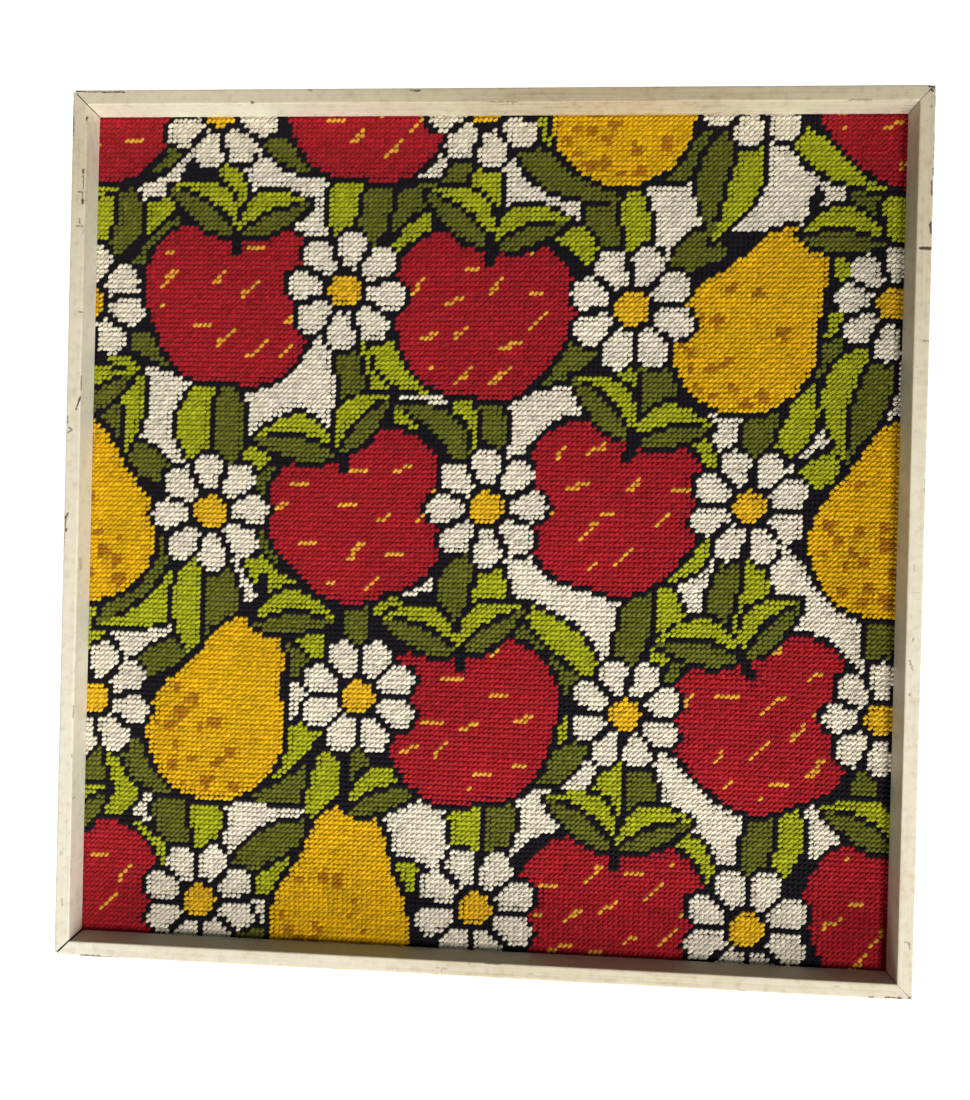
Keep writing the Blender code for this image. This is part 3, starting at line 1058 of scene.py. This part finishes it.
def paintMaterial(nodeName):
    rail = rails[nodeName]
    material, tree, shader = startMaterial(rail["piece"] + "Paint", paintSet["shading"])
    flat = addNode(tree, "ShaderNodeUVMap", uv_map="unrolled").outputs[0]
    place = objectPlace(tree)
    seedShift = (rail["seed"] * 1.7, rail["seed"] * 0.9, 0.0)
    shifted = vectorNode(tree, "ADD", {0: flat, 1: seedShift})
    grained = vectorNode(tree, "MULTIPLY", {0: shifted, 1: paintSet["grainStretch"]})
    grain = noiseNode(tree, grained, 1.0, 4.0, 0.6)
    mottle = noiseNode(tree, place, paintSet["mottleScale"], 4.0, 0.6)
    patches = noiseNode(tree, place, paintSet["patchScale"], 4.0, 0.65)
    specks = noiseNode(tree, place, paintSet["speckScale"])
    fine = noiseNode(tree, place, paintSet["fineScale"])

    # the paint darkens unevenly along the rail: partly tanned with age, partly painted shade, most on the
    # top rail and the top ends of the side rails
    parts = addNode(tree, "ShaderNodeSeparateXYZ", {0: flat})
    along = mathNode(tree, "DIVIDE", parts.outputs[0], rail["long"])
    along = mathNode(tree, "MULTIPLY_ADD", mottle, 0.02, along)
    tan = addNode(tree, "ShaderNodeValToRGB", {0: mathNode(tree, "SUBTRACT", along, 0.01)})
    stops = tan.color_ramp.elements
    for number, (share, amount) in enumerate(rail["tan"]):
        stop = stops[number] if number < 2 else stops.new(share)
        stop.position = share
        stop.color = (amount, amount, amount, 1.0)
    dull = tan.outputs[0]
    inward = parts.outputs[1]
    wide = railSet["faceWide"]
    onFace = ramp(tree, inward, wide, wide + 0.6 * mm, 1.0, 0.0)
    dull = mathNode(tree, "ADD", dull, ramp(tree, inward, -2.0 * mm, 0.0, paintSet["outsideTan"], 0.0))
    streaked = mathNode(tree, "MULTIPLY_ADD", dull, *paintSet["streakTan"])
    streaked = mathNode(tree, "MULTIPLY", streaked, ramp(tree, grain, 0.45, 0.70))
    dull = mathNode(tree, "ADD", dull, streaked)
    dull = mathNode(tree, "ADD", dull, ramp(tree, mottle, 0.45, 0.75, 0.0, paintSet["mottleTan"]))
    dull = mathNode(tree, "ADD", dull, ramp(tree, patches, 0.50, 0.72, 0.0, paintSet["patchTan"]))
    upward = addNode(tree, "ShaderNodeSeparateXYZ", {0: place}).outputs[1]
    # painted shade tint: the face is yellower towards the picture's top
    topShadeTint = mathNode(tree, "MULTIPLY", ramp(tree, upward, -0.5 * frameTall, 0.5 * frameTall), onFace)
    color = mixColor(tree, topShadeTint, (*paintSet["color"], 1.0), (*paintSet["topShadeTint"], 1.0))
    color = mixColor(tree, dull, color, (*paintSet["dull"], 1.0))
    freckle = ramp(tree, specks, 0.68, 0.76, 0.0, paintSet["freckleTan"])
    color = mixColor(tree, freckle, color, (*paintSet["dull"], 1.0))
    # painted shade: the inner wall is greyed by the rail's wallShade amount
    onWall = ramp(tree, inward, wide - 0.2 * mm, wide + 1.0 * mm)
    onWall = mathNode(tree, "MULTIPLY", onWall, rail["wallShade"])
    color = mixColor(tree, onWall, color, (*paintSet["wallShadeColor"], 1.0))

    # strokes and spots, with ragged edges
    inputs = {"Vector": flat, "Scale": paintSet["raggedScale"], "Detail": 3.0}
    ragged = addNode(tree, "ShaderNodeTexNoise", inputs).outputs["Color"]
    centred = vectorNode(tree, "SUBTRACT", {0: ragged, 1: (0.5, 0.5, 0.5)})
    small = vectorNode(tree, "SCALE", {0: centred, "Scale": paintSet["ragged"]})
    rough = vectorNode(tree, "ADD", {0: flat, 1: small})
    rough = vectorNode(tree, "MULTIPLY", {0: rough, 1: (1.0, 1.0, 0.0)})
    marked = 0.0
    for row in rail["marks"]:
        mark = dict(zip(markColumns, row))
        angle = math.radians(mark["turn"])
        run = Vector((math.cos(angle), math.sin(angle), 0.0)) * mark["long"] * mm
        middlePlace = Vector((mark["along"], mark["inward"], 0.0)) * mm
        stroke = addNode(tree, "ShaderNodeGroup", node_tree=markShape)
        tree.links.new(rough, stroke.inputs["Place"])
        stroke.inputs["Start"].default_value = middlePlace - run / 2
        stroke.inputs["Run"].default_value = run
        stroke.inputs["Width"].default_value = mark["wide"] * mm
        stroke.inputs["Dark"].default_value = mark["dark"]
        marked = mathNode(tree, "MAXIMUM", stroke.outputs[0], marked)
    color = mixColor(tree, marked, color, (*paintSet["bare"], 1.0))
    roughness = mathNode(tree, "MULTIPLY_ADD", grain, paintSet["roughGrain"], paintSet["roughLow"])
    roughness = mathNode(tree, "MULTIPLY_ADD", marked, paintSet["roughMark"], roughness)
    tree.links.new(roughness, shader.inputs["Roughness"])
    relief = mathNode(tree, "MULTIPLY_ADD", fine, 0.35, grain)
    relief = mathNode(tree, "SUBTRACT", relief, mathNode(tree, "MULTIPLY", marked, 2.0))
    bump = bumpNode(tree, paintSet["bumpStrength"], paintSet["bumpDepth"], relief)
    finishMaterial(tree, shader, color, bump)
    return material


def jointMaterial():
    name = "mitreDirtAndShade"
    if name in bpy.data.materials:
        return bpy.data.materials[name]
    # dirt and painted shade: the mitre end faces are near black, so the open joints read as dark gaps
    material, tree, shader = startMaterial(name, paintSet["jointShading"])
    place = objectPlace(tree)
    dirt = noiseNode(tree, place, paintSet["jointScale"], 3.0)
    dark, light = paintSet["jointDirtAndShade"]
    color = mixColor(tree, dirt, (*dark, 1.0), (*light, 1.0))
    tree.links.new(color, shader.inputs["Base Color"])
    return material


# Camera, light and floor

cameraSet = {
    "place": (0.02507, -0.00674, 0.4351),
    "turn": (-0.144, 3.214, 1.394),       # degrees about X, Y and Z
    "lens": 27.275,                       # millimetres, for 36 mm over the picture's height
}

lightSet = {
    "high": {        # steep daylight that falls off towards the picture's top
        "place": (0.90, -0.66, 3.0),
        "aim": (-0.32, -0.60, 0.0),
        "radius": 0.32,
        "cone": 50.0,
        "watts": 283.0,
        "color": (1.0, 0.99, 0.965),
    },
    "low": {         # along the floor, onto the top wall of the recess
        "place": (0.0, -1.95, 0.62),
        "aim": (0.0, 0.0, 0.0),
        "size": (0.9, 0.6),
        "watts": 33.0,
        "color": (0.97, 0.98, 0.95),
    },
    "right": {       # and onto its left wall
        "place": (1.80, -0.75, 0.75),
        "aim": (0.0, 0.0, 0.0),
        "size": (0.9, 0.6),
        "watts": 16.5,
        "color": (1.0, 0.99, 0.965),
    },
    "sky": 0.125,
    "skyColor": (0.97, 0.98, 1.0),
}

floorSet = {
    "half": 12.0,
    "below": 0.4 * mm,
    "glow": 0.96,
    "diffuse": 0.25,
}


def buildStage():
    scene = bpy.context.scene
    camera = bpy.data.objects.new("panelCamera", bpy.data.cameras.new("panelCamera"))
    camera.data.sensor_width = 36.0
    camera.data.lens = cameraSet["lens"]
    camera.data.clip_start = 0.01
    camera.location = cameraSet["place"]
    camera.rotation_euler = [math.radians(angle) for angle in cameraSet["turn"]]
    scene.collection.objects.link(camera)
    scene.camera = camera

    for name, kind in (("high", "SPOT"), ("low", "AREA"), ("right", "AREA")):
        lamp = lightSet[name]
        light = bpy.data.objects.new(name + "Light", bpy.data.lights.new(name + "Light", kind))
        if kind == "SPOT":
            light.data.shadow_soft_size = lamp["radius"]
            light.data.spot_size = math.radians(lamp["cone"])
            light.data.spot_blend = 1.0
        else:
            light.data.shape = "RECTANGLE"
            light.data.size, light.data.size_y = lamp["size"]
        light.data.energy = lamp["watts"]
        light.data.color = lamp["color"]
        light.location = lamp["place"]
        light.rotation_euler = (Vector(lamp["aim"]) - light.location).to_track_quat("-Z", "Y").to_euler()
        light.visible_camera = False
        scene.collection.objects.link(light)

    world = bpy.data.worlds.new("softSky")
    world.use_nodes = True
    sky = world.node_tree.nodes["Background"]
    sky.inputs["Color"].default_value = (*lightSet["skyColor"], 1.0)
    sky.inputs["Strength"].default_value = lightSet["sky"]
    scene.world = world
    scene.view_settings.view_transform = "Standard"

    half = floorSet["half"]
    corners = [(-half, -half), (half, -half), (half, half), (-half, half)]
    points = [(x, y, -floorSet["below"]) for x, y in corners]
    mesh = makeMesh("paleFloor", points, [np.array([[0, 1, 2, 3]])])
    material, tree, shader = startMaterial("paleFloor", {"Roughness": 0.9, "Specular IOR Level": 0.0})
    shade = floorSet["diffuse"]
    shader.inputs["Base Color"].default_value = (shade, shade, shade, 1.0)
    shader.inputs["Emission Color"].default_value = (1.0, 1.0, 1.0, 1.0)
    shader.inputs["Emission Strength"].default_value = floorSet["glow"]
    mesh.materials.append(material)
    floor = bpy.data.objects.new("paleFloor", mesh)
    scene.collection.objects.link(floor)


buildStage()
print("stage ready")
yarnChart = orchardChart()
print("chart ready:", chartSet["columns"], "by", chartSet["rows"])
canvasGround = buildCanvas(yarnChart)
print("canvas ready:", len(canvasGround.data.polygons), "faces")
stitchPieces = buildStitches(yarnChart)
markShape = markGroup()
railPieces = [buildRail(nodeName) for nodeName in rails]
print("rails ready:", sum(len(piece.data.polygons) for piece in railPieces), "faces")
